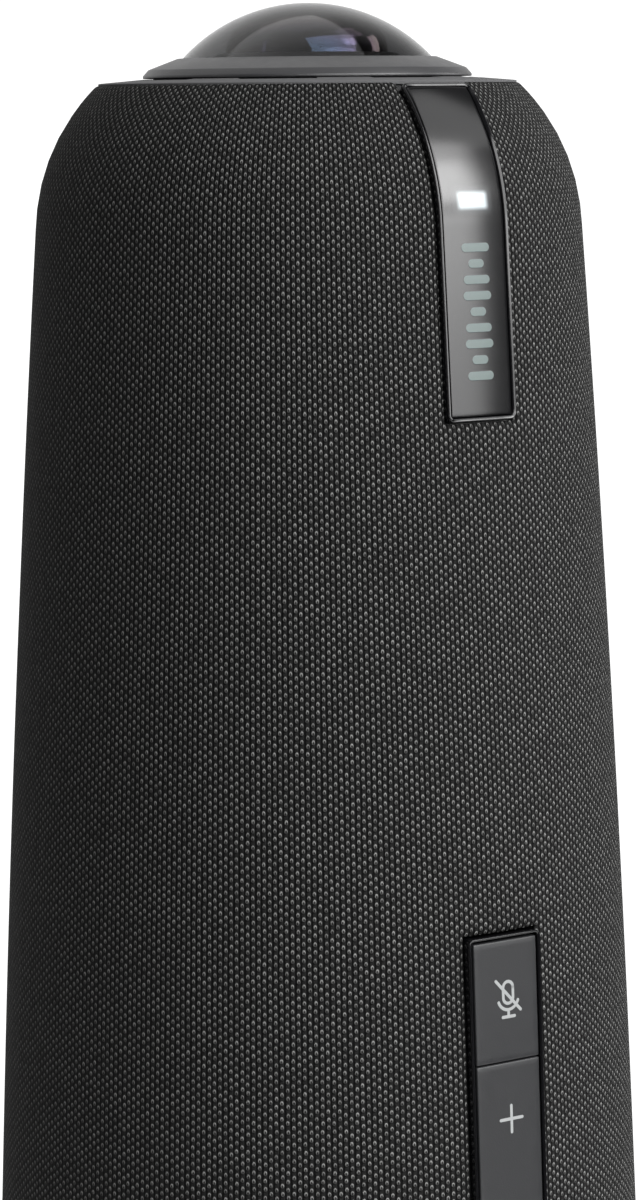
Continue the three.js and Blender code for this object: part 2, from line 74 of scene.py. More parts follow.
camera = bpy.data.objects.new("camera", bpy.data.cameras.new("camera"))
bpy.context.scene.collection.objects.link(camera)
camera.data.lens = LENS_MM
camera.data.clip_start = 0.01
camera.location = from_front(CAMERA_AZIMUTH, 0, CAMERA_DISTANCE) + Vector((0, 0, CAMERA_HEIGHT))
look = Matrix.Rotation(math.radians(CAMERA_AZIMUTH + CAMERA_TURN), 3, "Z")
look = look @ Matrix.Rotation(math.radians(90 - CAMERA_DIP), 3, "X")
look = look @ Matrix.Rotation(math.radians(CAMERA_ROLL), 3, "Z")
camera.rotation_euler = look.to_euler()
bpy.context.scene.camera = camera


def soft_box(name, azimuth, elevation, distance, width, height, radiance, aim=AIM):
    """An area light at a direction from its aim, facing it; its power is radiance times pi times its area."""
    data = bpy.data.lights.new(name, "AREA")
    data.shape = "RECTANGLE"
    data.size = width
    data.size_y = height
    data.energy = radiance * math.pi * width * height
    lamp = bpy.data.objects.new(name, data)
    bpy.context.scene.collection.objects.link(lamp)
    lamp.location = aim + from_front(azimuth, elevation, distance)
    lamp.rotation_euler = (aim - lamp.location).to_track_quat("-Z", "Y").to_euler()
    return lamp


soft_box("key_box", 5, 28, 1.1, 1.46, 0.85, 5.2)
soft_box("key_core", 30, 27, 1.1, 0.36, 0.34, 8.0)
soft_box("high_box", 48, 50, 1.1, 0.6, 0.5, 1.6)
soft_box("low_box", 14, 3, 1.2, 1.02, 0.42, 3.7)
soft_box("top_box", 180, 80, 1.5, 1.5, 1.5, 0.5)
soft_box("right_box", 80, 10, 1.2, 0.4, 0.9, 4.2)
soft_box("left_strip", -98, 5, 1.3, 0.12, 1.3, 1.4)

world = bpy.data.worlds.new("white_room")
bpy.context.scene.world = world
world.use_nodes = True
world_tree = world.node_tree


def room_node(kind, **sockets):
    """Adds a node to the world, with the values or links of its inputs, keyed by letter and number."""
    made = world_tree.nodes.new("ShaderNode" + kind)
    for socket, value in sockets.items():
        entry = made.inputs[int(socket[1:])]
        if isinstance(value, bpy.types.NodeSocket):
            world_tree.links.new(value, entry)
        else:
            entry.default_value = value
    return made


def plain_room(grey):
    """A background of one grey."""
    return room_node("Background", s0=(grey, grey, grey, 1)).outputs[0]


seen = room_node("LightPath")
direction = room_node("SeparateXYZ", s0=room_node("NewGeometry").outputs["Incoming"])


def sweep(near, far):
    """A background that goes from a near grey in front of the object to a far grey behind it."""
    depth = {"s0": direction.outputs["Y"], "s1": BACK_STARTS, "s2": BACK_FULL}
    grey = room_node("MapRange", s3=near, s4=far, **depth)
    return room_node("Background", s0=grey.outputs[0]).outputs[0]


room = plain_room(WALL_GREY)
for ray, background in [
    ("Is Glossy Ray", sweep(NEAR_GREY, BACK_GREY)),
    ("Is Transmission Ray", sweep(THROUGH_NEAR_GREY, THROUGH_GREY)),
    ("Is Camera Ray", plain_room(SWEEP_WHITE)),
]:
    room = room_node("MixShader", s0=seen.outputs[ray], s1=room, s2=background).outputs[0]
world_tree.links.new(room, world_tree.nodes["World Output"].inputs["Surface"])
bpy.context.scene.view_settings.view_transform = "Standard"


class Value:
    """A value that a material's nodes pass on. Sums, differences, products and quotients add Math nodes."""

    def __init__(self, finish, output):
        self.finish = finish
        self.output = output

    def other(self, name):
        """Another output of the same node."""
        return Value(self.finish, self.output.node.outputs[name])

    def maths(self, operation, *terms):
        return self.finish.node("Math", {"operation": operation}, dict(enumerate(terms)))

    def __add__(self, term):
        return self.maths("ADD", self, term)

    def __sub__(self, term):
        return self.maths("SUBTRACT", self, term)

    def __rsub__(self, term):
        return self.maths("SUBTRACT", term, self)

    def __mul__(self, term):
        return self.maths("MULTIPLY", self, term)

    def __truediv__(self, term):
        return self.maths("DIVIDE", self, term)

    __radd__ = __add__
    __rmul__ = __mul__


class Finish:
    """A material with one Principled shader, its fixed sockets set by name."""

    def __init__(self, name, fixed):
        self.material = bpy.data.materials.new(name)
        self.material.use_nodes = True
        self.tree = self.material.node_tree
        self.shader = self.tree.nodes["Principled BSDF"]
        for socket, value in fixed.items():
            self.shader.inputs[socket].default_value = value

    def node(self, kind, settings=None, sockets=None, output=0):
        """Adds a node of a kind, with its settings and with the values or links of its sockets."""
        made = self.tree.nodes.new("ShaderNode" + kind)
        for setting, value in (settings or {}).items():
            setattr(made, setting, value)
        for socket, value in (sockets or {}).items():
            if isinstance(value, Value):
                self.tree.links.new(value.output, made.inputs[socket])
            else:
                made.inputs[socket].default_value = value
        return Value(self, made.outputs[output])

    def feed(self, socket, value):
        self.tree.links.new(value.output, self.shader.inputs[socket])

    def smooth(self, value, low, high):
        """0 below low, 1 above high, and a smooth step between them."""
        settings = {"interpolation_type": "SMOOTHSTEP"}
        return self.node("MapRange", settings, {"Value": value, "From Min": low, "From Max": high})

    def place(self, scale=1.0):
        """A position on the object in its own frame, times a scale."""
        at = self.node("TexCoord", output="Object")
        return self.node("VectorMath", {"operation": "SCALE"}, {0: at, "Scale": scale})

    def grain(self, scale, detail=3.0, output="Fac"):
        """Fractal noise with a number of cells to the metre."""
        return self.node("TexNoise", {}, {"Vector": self.place(), "Scale": scale, "Detail": detail}, output)

    def shade(self, mask, dark, light):
        """A colour that goes from dark to light as the mask goes from 0 to 1."""
        sockets = {0: mask, 6: (*dark, 1), 7: (*light, 1)}
        return self.node("Mix", {"data_type": "RGBA"}, sockets, output=2)

    def dent(self, height, depth, strength=1.0):
        """Feeds a Bump node with a height from 0 to 1 that stands depth metres tall."""
        sockets = {"Height": height, "Distance": depth, "Strength": strength}
        self.feed("Normal", self.node("Bump", {}, sockets))


def moulded(name, dark, light, roughness, grain_scale=3000, depth=0.00002, fixed=None):
    """A moulded plastic or rubber: a faint cloudiness in its colour, and a fine even grain in its surface."""
    finish = Finish(name, fixed or {})
    finish.feed("Base Color", finish.shade(finish.grain(60), dark, light))
    finish.feed("Roughness", finish.grain(grain_scale / 6) * 0.12 + (roughness - 0.06))
    finish.dent(finish.grain(grain_scale, 1.0), depth)
    return finish.material


floor_mesh = bpy.data.meshes.new("floor")
rim_turn = np.linspace(0, 2 * math.pi, FLOOR_SIDES, endpoint=False)
rim_points = np.stack([
    FLOOR_RADIUS * np.cos(rim_turn),
    FLOOR_RADIUS * np.sin(rim_turn),
    0 * rim_turn - FLOOR_DROP,
], axis=-1)
floor_mesh.from_pydata(rim_points.tolist(), [], [list(range(FLOOR_SIDES))])
floor = bpy.data.objects.new("floor", floor_mesh)
bpy.context.scene.collection.objects.link(floor)
floor_mesh.materials.append(moulded("floor_white", (0.88, 0.88, 0.88), (0.9, 0.9, 0.9), 0.8, 400))


# ---- Fabric sleeve ----
# A tube of knitted mesh is stretched over the shells: light grey loops stand up in columns on a black ground,
# each column half a loop off its neighbours. Its edges are tucked in round the strips, the ports and both
# rims. The tower tapers in a gentle curve, and a round shoulder leads over to the top plate.

MM = 0.001
BASE_RADIUS = 55.4
TAPER = 0.023
TAPER_GROWTH = 9.96e-5
SKIN_BOTTOM = 7.9
SHOULDER_FOOT = 238.35
SHOULDER_CENTRE = (11.043, 236.0)
SHOULDER_RADIUS = 33.3
FABRIC_TOP_ANGLE = 46.5
FABRIC_THICKNESS = 0.55
TUCK_DEPTH = 0.45
TUCK_REACH = 0.5
TOP_SEAM = 0.45
COLUMN_PAIRS = 183
LOOP_PITCH = 1.297
LOOP_WANDER = 0.12
LOOP_REACH = 0.36
LOOP_MIDDLE = 0.60
GROUND_BLACK = (0.002, 0.002, 0.0021)
LOOP_GREY = (0.21, 0.21, 0.205)
PILE_DEPTH = 0.00028
STRIP_OPENING = 6.62
CONTROL_OPENING = 7.05
CONTROL_SPAN = (49.6, 128.9)
BADGE_BOTTOM = 208.3
BADGE_CLEARANCE = 0.3
OPENING_MARGIN = 10
BAY_OPENING = 18.8
BAY_TOP = 27.3
MEAN_RADIUS = 45
FAR_AWAY = 999.0


def side_line(height):
    """The side's radius, z and outward slope at a height in mm. Below the shoulder the radius falls by a
    linear and a square term in z. Above its foot the height runs on as arc length round its circle."""
    low = np.minimum(height, SHOULDER_FOOT)
    radius = BASE_RADIUS - TAPER * low - TAPER_GROWTH * low**2
    slope = np.arctan(TAPER + 2 * TAPER_GROWTH * low)
    turn = slope_foot + (height - SHOULDER_FOOT) / SHOULDER_RADIUS
    above = height > SHOULDER_FOOT
    angle = np.where(above, turn, slope)
    radius = np.where(above, SHOULDER_CENTRE[0] + SHOULDER_RADIUS * np.cos(angle), radius)
    z = np.where(above, SHOULDER_CENTRE[1] + SHOULDER_RADIUS * np.sin(angle), low)
    return radius, z, angle


slope_foot = math.asin((SHOULDER_FOOT - SHOULDER_CENTRE[1]) / SHOULDER_RADIUS)


def height_at_angle(degrees):
    """The height along the side line at which the shoulder has turned through an angle."""
    return SHOULDER_FOOT + SHOULDER_RADIUS * (math.radians(degrees) - slope_foot)


def spread(start, end, near=0.25, growth=1.6, coarse=4.0, dense_start=True, dense_end=True):
    """Grid lines from start to end, close together at the dense ends and growing to a coarse step between."""
    steps = [0.0]
    while sum(steps) < 0.5 * (end - start):
        steps.append(min(near * growth ** (len(steps) - 1), coarse))
    reach = np.cumsum(steps)
    lows = reach[reach < 0.45 * (end - start)] if dense_start else np.array([0.0])
    highs = reach[reach < 0.45 * (end - start)] if dense_end else np.array([0.0])
    first, last = start + lows, end - highs[::-1]
    middle = np.linspace(first[-1], last[0], max(2, int((last[0] - first[-1]) / coarse) + 2))
    return np.concatenate([first, middle[1:-1], last])


def to_mesh(name, points, faces, uv=None, uv_name="surface"):
    """A mesh object from points in mm and faces. Doubled points, as at a pole, are merged."""
    mesh = bpy.data.meshes.new(name)
    mesh.from_pydata((points * MM).tolist(), [], faces.tolist())
    if uv is not None:
        layer = mesh.uv_layers.new(name=uv_name)
        layer.data.foreach_set("uv", uv.astype(np.float32).ravel())
    work = bmesh.new()
    work.from_mesh(mesh)
    bmesh.ops.remove_doubles(work, verts=work.verts, dist=1e-6)
    work.to_mesh(mesh)
    work.free()
    mesh.shade_smooth()
    piece = bpy.data.objects.new(name, mesh)
    bpy.context.scene.collection.objects.link(piece)
    return piece


def grid_faces(rows, columns, wrap_rows=False, wrap_columns=False, keep=None):
    """The corners of the quads of a grid of points, rows by columns, and the same corners before wrapping."""
    i, j = np.meshgrid(
        np.arange(rows if wrap_rows else rows - 1),
        np.arange(columns if wrap_columns else columns - 1),
        indexing="ij",
    )
    if keep is not None:
        i, j = i[keep], j[keep]
    i, j = i.ravel(), j.ravel()
    corners = np.stack([[i, j], [i + 1, j], [i + 1, j + 1], [i, j + 1]])
    wrapped = (corners[:, 0] % rows) * columns + corners[:, 1] % columns
    return wrapped.T, corners.transpose(2, 0, 1)


def grid_piece(name, points, wrap_rows=False, wrap_columns=False):
    """A piece from a grid of points. It faces outward where rows turn to columns by the right-hand rule."""
    rows, columns = points.shape[:2]
    faces, _ = grid_faces(rows, columns, wrap_rows, wrap_columns)
    return to_mesh(name, points.reshape(-1, 3), faces)


def soften(piece, width, segments=2, angle=35):
    """Rounds every edge sharper than an angle."""
    bevel = piece.modifiers.new("edges", "BEVEL")
    bevel.width = width * MM
    bevel.segments = segments
    bevel.limit_method = "ANGLE"
    bevel.angle_limit = math.radians(angle)
    bevel.harden_normals = False


def thicken(piece, thickness):
    """Gives a sheet a wall, inward from its face."""
    wall = piece.modifiers.new("wall", "SOLIDIFY")
    wall.thickness = thickness * MM
    wall.offset = -1


def outside_rectangle(across, along, half_width, low, high):
    """The distance of points from a rectangle, which is 0 inside it."""
    beside = np.maximum(np.abs(across) - half_width, 0)
    beyond = np.maximum(np.maximum(low - along, along - high), 0)
    return np.hypot(beside, beyond)


def half_opening(height):
    """Half the width of the openings up the front, which changes in a straight line between the two strips."""
    ends = [CONTROL_SPAN[1] + OPENING_MARGIN, BADGE_BOTTOM - OPENING_MARGIN]
    return np.interp(height, ends, [CONTROL_OPENING, STRIP_OPENING])


def sleeve_grid():
    """Points of the sleeve. Its columns follow the openings' edges: from the front's middle to the edge of the
    strips, on to the port bay's edge, and to the middle of the back, then mirrored. Near an opening or a rim
    the cloth sinks by the tuck's depth times a falling exponential of the distance's square."""
    top = height_at_angle(FABRIC_TOP_ANGLE)
    badge_low = BADGE_BOTTOM - BADGE_CLEARANCE
    stops = [SKIN_BOTTOM, BAY_TOP, *CONTROL_SPAN, badge_low, top]
    parts = [spread(a, b) for a, b in zip(stops[:-1], stops[1:])]
    heights = np.concatenate([parts[0]] + [part[1:] for part in parts[1:]])
    radius, z, slope = side_line(heights)
    front = np.arcsin(half_opening(heights) / radius)
    back = math.pi - np.arcsin(BAY_OPENING / radius)
    share_in = np.linspace(0, 1, 4)
    mean_gap = MEAN_RADIUS * (back - front).mean()
    share_side = (spread(0, mean_gap) / mean_gap)[1:]
    share_back = (spread(0, BAY_OPENING, dense_end=False) / BAY_OPENING)[1:]
    half = np.concatenate([
        share_in[:, None] * front,
        front + share_side[:, None] * (back - front),
        back + share_back[:, None] * (math.pi - back),
    ])
    angle = np.concatenate([-half[:0:-1], half])
    front_across = np.where(np.abs(angle) < math.pi / 2, radius * np.sin(angle), FAR_AWAY)
    back_across = np.where(np.abs(angle) > math.pi / 2, radius * np.sin(angle), FAR_AWAY)
    along = z + 0 * angle
    distance = np.minimum.reduce([
        outside_rectangle(front_across, along, CONTROL_OPENING, *CONTROL_SPAN),
        outside_rectangle(front_across, along, STRIP_OPENING, badge_low, FAR_AWAY),
        outside_rectangle(back_across, along, BAY_OPENING, 0, BAY_TOP),
        (top + TOP_SEAM - heights) + 0 * angle,
        (heights - SKIN_BOTTOM) + 0 * angle,
    ])
    sink = TUCK_DEPTH * np.exp(-((distance / TUCK_REACH) ** 2))
    reach = radius - sink * np.cos(slope)
    rise = z - sink * np.sin(slope)
    points = np.stack([reach * np.sin(angle), -reach * np.cos(angle), rise + 0 * angle], axis=-1)
    middle_angle = (angle[1:, 1:] + angle[:-1, :-1]) / 2
    middle_height = (heights[1:] + heights[:-1]) / 2 + 0 * middle_angle
    middle_radius = side_line(middle_height)[0]
    in_strip = np.abs(middle_angle) < np.arcsin(half_opening(middle_height) / middle_radius)
    in_control = (middle_height > CONTROL_SPAN[0]) & (middle_height < CONTROL_SPAN[1])
    in_badge = middle_height > badge_low
    behind_bay = np.abs(middle_angle) > math.pi - np.arcsin(BAY_OPENING / middle_radius)
    in_bay = behind_bay & (middle_height < BAY_TOP)
    keep = ~((in_strip & (in_control | in_badge)) | in_bay)
    return points, angle, heights, keep


sleeve_points, sleeve_angle, sleeve_heights, sleeve_keep = sleeve_grid()
rows, columns = sleeve_points.shape[:2]
sleeve_faces, sleeve_corners = grid_faces(rows, columns, keep=sleeve_keep)
sleeve_uv = np.stack([
    (sleeve_angle / math.pi * COLUMN_PAIRS)[sleeve_corners[..., 0], sleeve_corners[..., 1]],
    (sleeve_heights / LOOP_PITCH)[sleeve_corners[..., 1]],
], axis=-1)
sleeve = to_mesh("knitted_sleeve", sleeve_points.reshape(-1, 3), sleeve_faces, sleeve_uv, "weave")
thicken(sleeve, FABRIC_THICKNESS)


def knitted(name):
    """Loops in staggered columns. Across a column the yarn is a soft-edged band with a black gap on each side;
    up it, each loop is an upturned U: an ellipse that is bright along its crown, a highlight painted into its
    colour as if lit from above, and dark at its heart, over a darker length of twisted yarn. White noise gives
    every loop its own brightness and a slight shift."""
    cloth = Finish(name, {"Roughness": 0.85, "Specular IOR Level": 0.12})
    weave = cloth.node("UVMap", {"uv_map": "weave"})
    at = cloth.node("SeparateXYZ", {}, {0: weave}, output="X")
    column = at.maths("FLOOR", at)
    row_line = at.other("Y") + column.maths("PINGPONG", column, 1.0) * 0.5
    row = row_line.maths("FLOOR", row_line)
    cell = cloth.node("CombineXYZ", {}, {0: column, 1: row})
    chance = cloth.node("TexWhiteNoise", {"noise_dimensions": "2D"}, {"Vector": cell}, output="Value")
    shift = cloth.node("SeparateXYZ", {}, {0: chance.other("Color")}, output="Y")
    across = at - column - 0.5 + (shift - 0.5) * LOOP_WANDER
    up = row_line - row + (shift.other("Z") - 0.5) * LOOP_WANDER
    side = across / LOOP_REACH
    crown = (up - LOOP_MIDDLE) / LOOP_REACH
    from_middle = side * side + crown * crown
    head = 1 - cloth.smooth(from_middle, 0.35, 1.25)
    core = (across + (shift - 0.5) * 0.10) / 0.13
    heart = (up - 0.58) / 0.15
    hollow = 1 - cloth.smooth(core * core + heart * heart, 0.2, 1.7)
    # Painted light: each loop's colour goes from dark at its foot to bright at its crown, the way overhead
    # light would fall on it.
    painted_crown_light = cloth.smooth(crown, -1.0, 0.7)
    band = 1 - cloth.smooth(across.maths("ABSOLUTE", across), 0.24, 0.44)
    fibre = cloth.grain(9000, 2.0)
    loop_with_painted_light = head * painted_crown_light * (1 - hollow * 0.85) * (chance * 0.5 + 0.6) * (fibre * 0.8 + 0.6)
    yarn = band * (fibre * 1.5 + 0.1) * 0.045
    light = loop_with_painted_light.maths("MAXIMUM", loop_with_painted_light, yarn)
    cloth.feed("Base Color", cloth.shade(light, GROUND_BLACK, LOOP_GREY))
    cloth.dent(head * 0.7 * (1 - hollow * 0.8) + band * 0.5, PILE_DEPTH)
    return cloth.material


sleeve.data.materials.append(knitted("knitted_mesh"))
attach(sleeve, "housing")
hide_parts("fabric_sleeve")


# ---- Badge strip: glossy frame and window ----
# A slim tray of piano black plastic follows the side line up to the top plate. Its rim stands a little proud
# of the cloth, and a crowned black window lies in it with a fine gap all round. The status light shines
# through the window, above a printed row of level bars.

STRIP_HALF = 6.55
FRAME_WIDTH = 0.62
BADGE_TOP_ANGLE = 45.6
WINDOW_GAP = 0.16
WINDOW_CROWN = 0.2
LIGHT_HEIGHT = 242.0


def on_strip(across, height, out):
    """Points on the band up the front: across in X, height up the side line, and out from the cloth's face."""
    radius, z, slope = side_line(height)
    return np.stack([
        across + 0 * height,
        -(radius + out * np.cos(slope)) + 0 * across,
        z + out * np.sin(slope) + 0 * across,
    ], axis=-1)


def rounded_loop(half_width, low, high, corner, along=60, arc=6):
    """A rectangle's outline with round corners, anticlockwise from the low right corner: its points, and the
    outward direction at each. A corner is a quarter circle about a centre set in by its radius."""
    turns = np.linspace(0, math.pi / 2, arc)
    points, outward = [], []
    centres = [(1, low + corner, -90), (1, high - corner, 0), (-1, high - corner, 90), (-1, low + corner, 180)]
    for side, middle, start in centres:
        angle = math.radians(start) + turns
        way = np.stack([np.cos(angle), np.sin(angle)], axis=-1)
        points.append(np.array([side * (half_width - corner), middle]) + corner * way)
        outward.append(way)
    full, ways = [], []
    for k in range(4):
        a, b = points[k], points[(k + 1) % 4]
        long_side = abs(b[0][1] - a[-1][1]) > 2 * corner + half_width
        count = along if long_side else 8
        share = np.linspace(0, 1, count)[1:-1, None]
        full += [a, a[-1] + share * (b[0] - a[-1])]
        ways += [outward[k], outward[k][-1] + 0 * share]
    return np.concatenate(full), np.concatenate(ways)


def rim(name, place, half_width, low, high, section, corner=0.5):
    """A frame: a closed section of (outward, out) points carried round a rounded rectangle on a surface."""
    outline, ways = rounded_loop(half_width, low, high, corner)
    section = np.array(section)
    across = outline[:, :1] + ways[:, :1] * section[:, 0]
    along = outline[:, 1:] + ways[:, 1:] * section[:, 0]
    return grid_piece(name, place(across, along, section[:, 1] + 0 * across), True, True)


gloss = Finish("piano_black", {"Coat Roughness": 0.04, "Specular IOR Level": 0.5})
gloss.feed("Base Color", gloss.shade(gloss.grain(40), (0.003, 0.003, 0.0035), (0.006, 0.006, 0.007)))
gloss.feed("Roughness", gloss.grain(900) * 0.05 + 0.09)
gloss.dent(gloss.grain(220, 1.0), 0.00001)
piano_black = gloss.material

badge_top = height_at_angle(BADGE_TOP_ANGLE)
frame_section = [
    (0, -1.3), (FRAME_WIDTH, -1.3), (FRAME_WIDTH, 0.16), (FRAME_WIDTH - 0.14, 0.32), (0.12, 0.16), (0, 0.02),
]
badge_frame = rim("badge_frame", on_strip, STRIP_HALF - FRAME_WIDTH, BADGE_BOTTOM + FRAME_WIDTH,
                  badge_top - FRAME_WIDTH, frame_section)
soften(badge_frame, 0.06, 2, 20)
badge_frame.data.materials.append(piano_black)
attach(badge_frame, "housing")


def plate_uv(name, place, half_width, low, high, crown, out, columns=24, rows=90):
    """A plate on a surface, crowned across by a square law, whose UV is (across, along) in mm."""
    sides, heights = np.linspace(-half_width, half_width, columns), np.linspace(low, high, rows)
    across, along = np.meshgrid(sides, heights, indexing="ij")
    points = place(across, along, out - crown * (across / half_width) ** 2)
    faces, corners = grid_faces(columns, rows)
    uv = np.stack([across, along], axis=-1)[corners[..., 0], corners[..., 1]]
    return to_mesh(name, points.reshape(-1, 3), faces, uv, "strip")


window_half = STRIP_HALF - FRAME_WIDTH - WINDOW_GAP
window_span = (BADGE_BOTTOM + FRAME_WIDTH + WINDOW_GAP, badge_top - FRAME_WIDTH - WINDOW_GAP)
window = plate_uv("badge_plate", on_strip, window_half, *window_span, WINDOW_CROWN, 0.22)
thicken(window, 1.2)
soften(window, 0.14, 3)

tray = plate_uv(
    "badge_tray", on_strip, STRIP_HALF - 0.3, BADGE_BOTTOM + 0.2, badge_top - 0.3, crown=0, out=-1.2,
    columns=2, rows=60,
)
thicken(tray, 1.0)
tray.data.materials.append(piano_black)
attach(tray, "housing")
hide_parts("badge_bezel")


LIGHT_HALF_WIDTH = 2.1
LIGHT_HALF_HEIGHT = 0.75
BAR_PITCH = 2.45
BAR_COUNT = 9
BARS_START = 214.0
BAR_SHORTEST, BAR_SWING = 1.2, 1.45
BAR_ROUND = 0.55


def badge_glass():
    """Piano black with two masks on the strip's own (across, along) in mm. The status light is a box with soft
    edges. The level bars are round-ended boxes at an even pitch, whose half widths follow a sine of their
    number."""
    glass = Finish("badge_black", {"Specular IOR Level": 0.55, "Emission Strength": 1.0})
    strip = glass.node("UVMap", {"uv_map": "strip"})
    across = glass.node("SeparateXYZ", {}, {0: strip}, output="X")
    along = across.other("Y")
    side = across.maths("ABSOLUTE", across)
    from_light = (along - LIGHT_HEIGHT).maths("ABSOLUTE", along - LIGHT_HEIGHT)
    core = 1 - glass.smooth(side, LIGHT_HALF_WIDTH, LIGHT_HALF_WIDTH + 1.1)
    core = core * (1 - glass.smooth(from_light, LIGHT_HALF_HEIGHT, LIGHT_HALF_HEIGHT + 0.95))
    halo = 1 - glass.smooth(side, LIGHT_HALF_WIDTH + 0.1, 2 * LIGHT_HALF_WIDTH)
    halo = halo * (1 - glass.smooth(from_light, LIGHT_HALF_HEIGHT + 0.05, LIGHT_HALF_HEIGHT + 1.85))
    line = (along - BARS_START) / BAR_PITCH
    number = line.maths("FLOOR", line)
    from_middle = (line - number - 0.5) * BAR_PITCH
    beside_middle = from_middle.maths("ABSOLUTE", from_middle)
    wave = number.maths("SINE", number * 2.1 + 0.9)
    half_width = wave.maths("ABSOLUTE", wave) * BAR_SWING + BAR_SHORTEST
    end = side - half_width + BAR_ROUND
    end = end.maths("MAXIMUM", end, 0.0)
    away = end * end + beside_middle * beside_middle
    away = away.maths("SQRT", away)
    inside = glass.smooth(line, -0.001, 0.001) * (1 - glass.smooth(line, BAR_COUNT - 0.001, BAR_COUNT + 0.001))
    bars = (1 - glass.smooth(away, 0.62, 0.70)) * inside
    glass.feed("Base Color", glass.shade(bars, (0.004, 0.004, 0.0045), (0.10, 0.13, 0.126)))
    glass.feed("Roughness", bars * 0.22 + (glass.grain(500) * 0.03 + 0.17))
    glass.feed("Emission Color", glass.shade(core + halo * 0.10, (0, 0, 0), (0.80, 0.90, 0.94)))
    glass.dent(bars, 0.00003)
    return glass.material


window.data.materials.append(badge_glass())
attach(window, "housing")
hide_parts("badge_window")


# ---- Control strip: frame, two push buttons and a volume rocker ----
# The lower strip is flat and leans back with the side. Satin caps stand in a glossy frame, a hairline apart:
# mute, a rocker for the volume that tips about its middle, and pairing. Their icons are printed.

CONTROL_HALF = 6.95
CONTROL_LOW, CONTROL_HIGH = 49.9, 128.6
CONTROL_FRAME = 0.5
BUTTON_PITCH = 19.3
BUTTON_GAP = 0.2
BUTTON_HALF = 6.12
BUTTON_OUT = 0.66

control_radius, control_z, _ = side_line(np.array([CONTROL_LOW, CONTROL_HIGH]))
control_middle = np.array([0, -control_radius.mean(), control_z.mean()])
lean = math.atan2(control_radius[0] - control_radius[1], CONTROL_HIGH - CONTROL_LOW)
control_up = np.array([0, math.sin(lean), math.cos(lean)])
control_out = np.array([0, -math.cos(lean), math.sin(lean)])


def on_control(across, along, out):
    """Points on the lower strip's plane: across in X, along up the strip from its middle, and out from it."""
    across, along, out = np.broadcast_arrays(across, along, out)
    return (
        control_middle
        + across[..., None] * np.array([1, 0, 0])
        + along[..., None] * control_up
        + out[..., None] * control_out
    )


half_strip = (CONTROL_HIGH - CONTROL_LOW) / 2
control_section = [
    (0, -1.6), (CONTROL_FRAME, -1.6), (CONTROL_FRAME, 0.58),
    (CONTROL_FRAME - 0.14, 0.74), (0.1, 0.6), (0, 0.45),
]
control_frame = rim("control_frame", on_control, CONTROL_HALF - CONTROL_FRAME, -half_strip + CONTROL_FRAME,
                    half_strip - CONTROL_FRAME, control_section, 0.4)
soften(control_frame, 0.06, 2, 20)
control_frame.data.materials.append(piano_black)
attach(control_frame, "housing")
control_tray = plate_uv(
    "control_tray", on_control, CONTROL_HALF - 0.3, -half_strip + 0.2, half_strip - 0.2, crown=0, out=-1.95,
    columns=2, rows=8,
)
thicken(control_tray, 1.0)
control_tray.data.materials.append(piano_black)
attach(control_tray, "housing")
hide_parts("control_bezel")

satin_key = moulded("satin_key", (0.013, 0.0135, 0.015), (0.017, 0.0175, 0.019), 0.42, 4200, 0.000012)


def stroke(path, half_width):
    """The two sides of a printed stroke with round ends: a ribbon along a path, whose half width closes as a
    circle past each end."""
    path = np.array(path, dtype=float)
    lengths = np.concatenate([[0], np.cumsum(np.hypot(*np.diff(path, axis=0).T))])
    ends = half_width * np.cos(np.linspace(math.pi, math.pi / 2, 7)[:-1])
    past = np.concatenate([ends, lengths, lengths[-1] - ends[::-1]])
    on = np.clip(past, 0, lengths[-1])
    middle = np.stack([np.interp(on, lengths, path[:, k]) for k in (0, 1)], axis=-1)
    way = np.stack([np.gradient(middle[:, k]) for k in (0, 1)], axis=-1)
    way[: len(ends) + 1] = path[1] - path[0]
    way[-len(ends) - 1 :] = path[-1] - path[-2]
    way /= np.hypot(*way.T)[:, None]
    middle = middle + way * (past - on)[:, None]
    width = np.sqrt(np.maximum(half_width**2 - (past - on) ** 2, 0))
    normal = np.stack([way[:, 1], -way[:, 0]], axis=-1)
    return middle[:, None] + normal[:, None] * (width[:, None] * np.array([1, -1]))[..., None]


def arc(centre, radius, start, end, steps=16):
    """Points round a circle between two angles in degrees."""
    angle = np.radians(np.linspace(start, end, steps))
    return np.stack([centre[0] + radius * np.cos(angle), centre[1] + radius * np.sin(angle)], axis=-1)


INK = 0.25
PRINT_LIFT, PRINT_STEP = 0.02, 0.004
PLUS_HEIGHT = 9.9
ICON_SHIFT = np.array([0.3, 0.3])
icons = {
    "mute": [
        np.concatenate([arc((0, 1.75), 0.95, 0, 180), arc((0, 0.2), 0.95, 180, 360), [(0.95, 1.75)]]),
        arc((0, 0.25), 2.0, 200, 340),
        [(0, -1.75), (0, -2.7)],
        [(-1.15, -2.85), (1.15, -2.85)],
        [(-2.35, 3.0), (2.35, -2.0)],
    ],
    "volume": [
        [(-2.1, PLUS_HEIGHT), (2.1, PLUS_HEIGHT)],
        [(0, PLUS_HEIGHT - 2.1), (0, PLUS_HEIGHT + 2.1)],
        [(-2.1, -PLUS_HEIGHT), (2.1, -PLUS_HEIGHT)],
    ],
    "pairing": [arc((0, 0), 2.1, 55, 395, 40), arc((0, 0), 0.55, 0, 360, 20)],
}
ink = Finish("printed_grey", {"Roughness": 0.55})
ink.feed("Base Color", ink.shade(ink.grain(3000), (0.25, 0.26, 0.26), (0.31, 0.32, 0.32)))

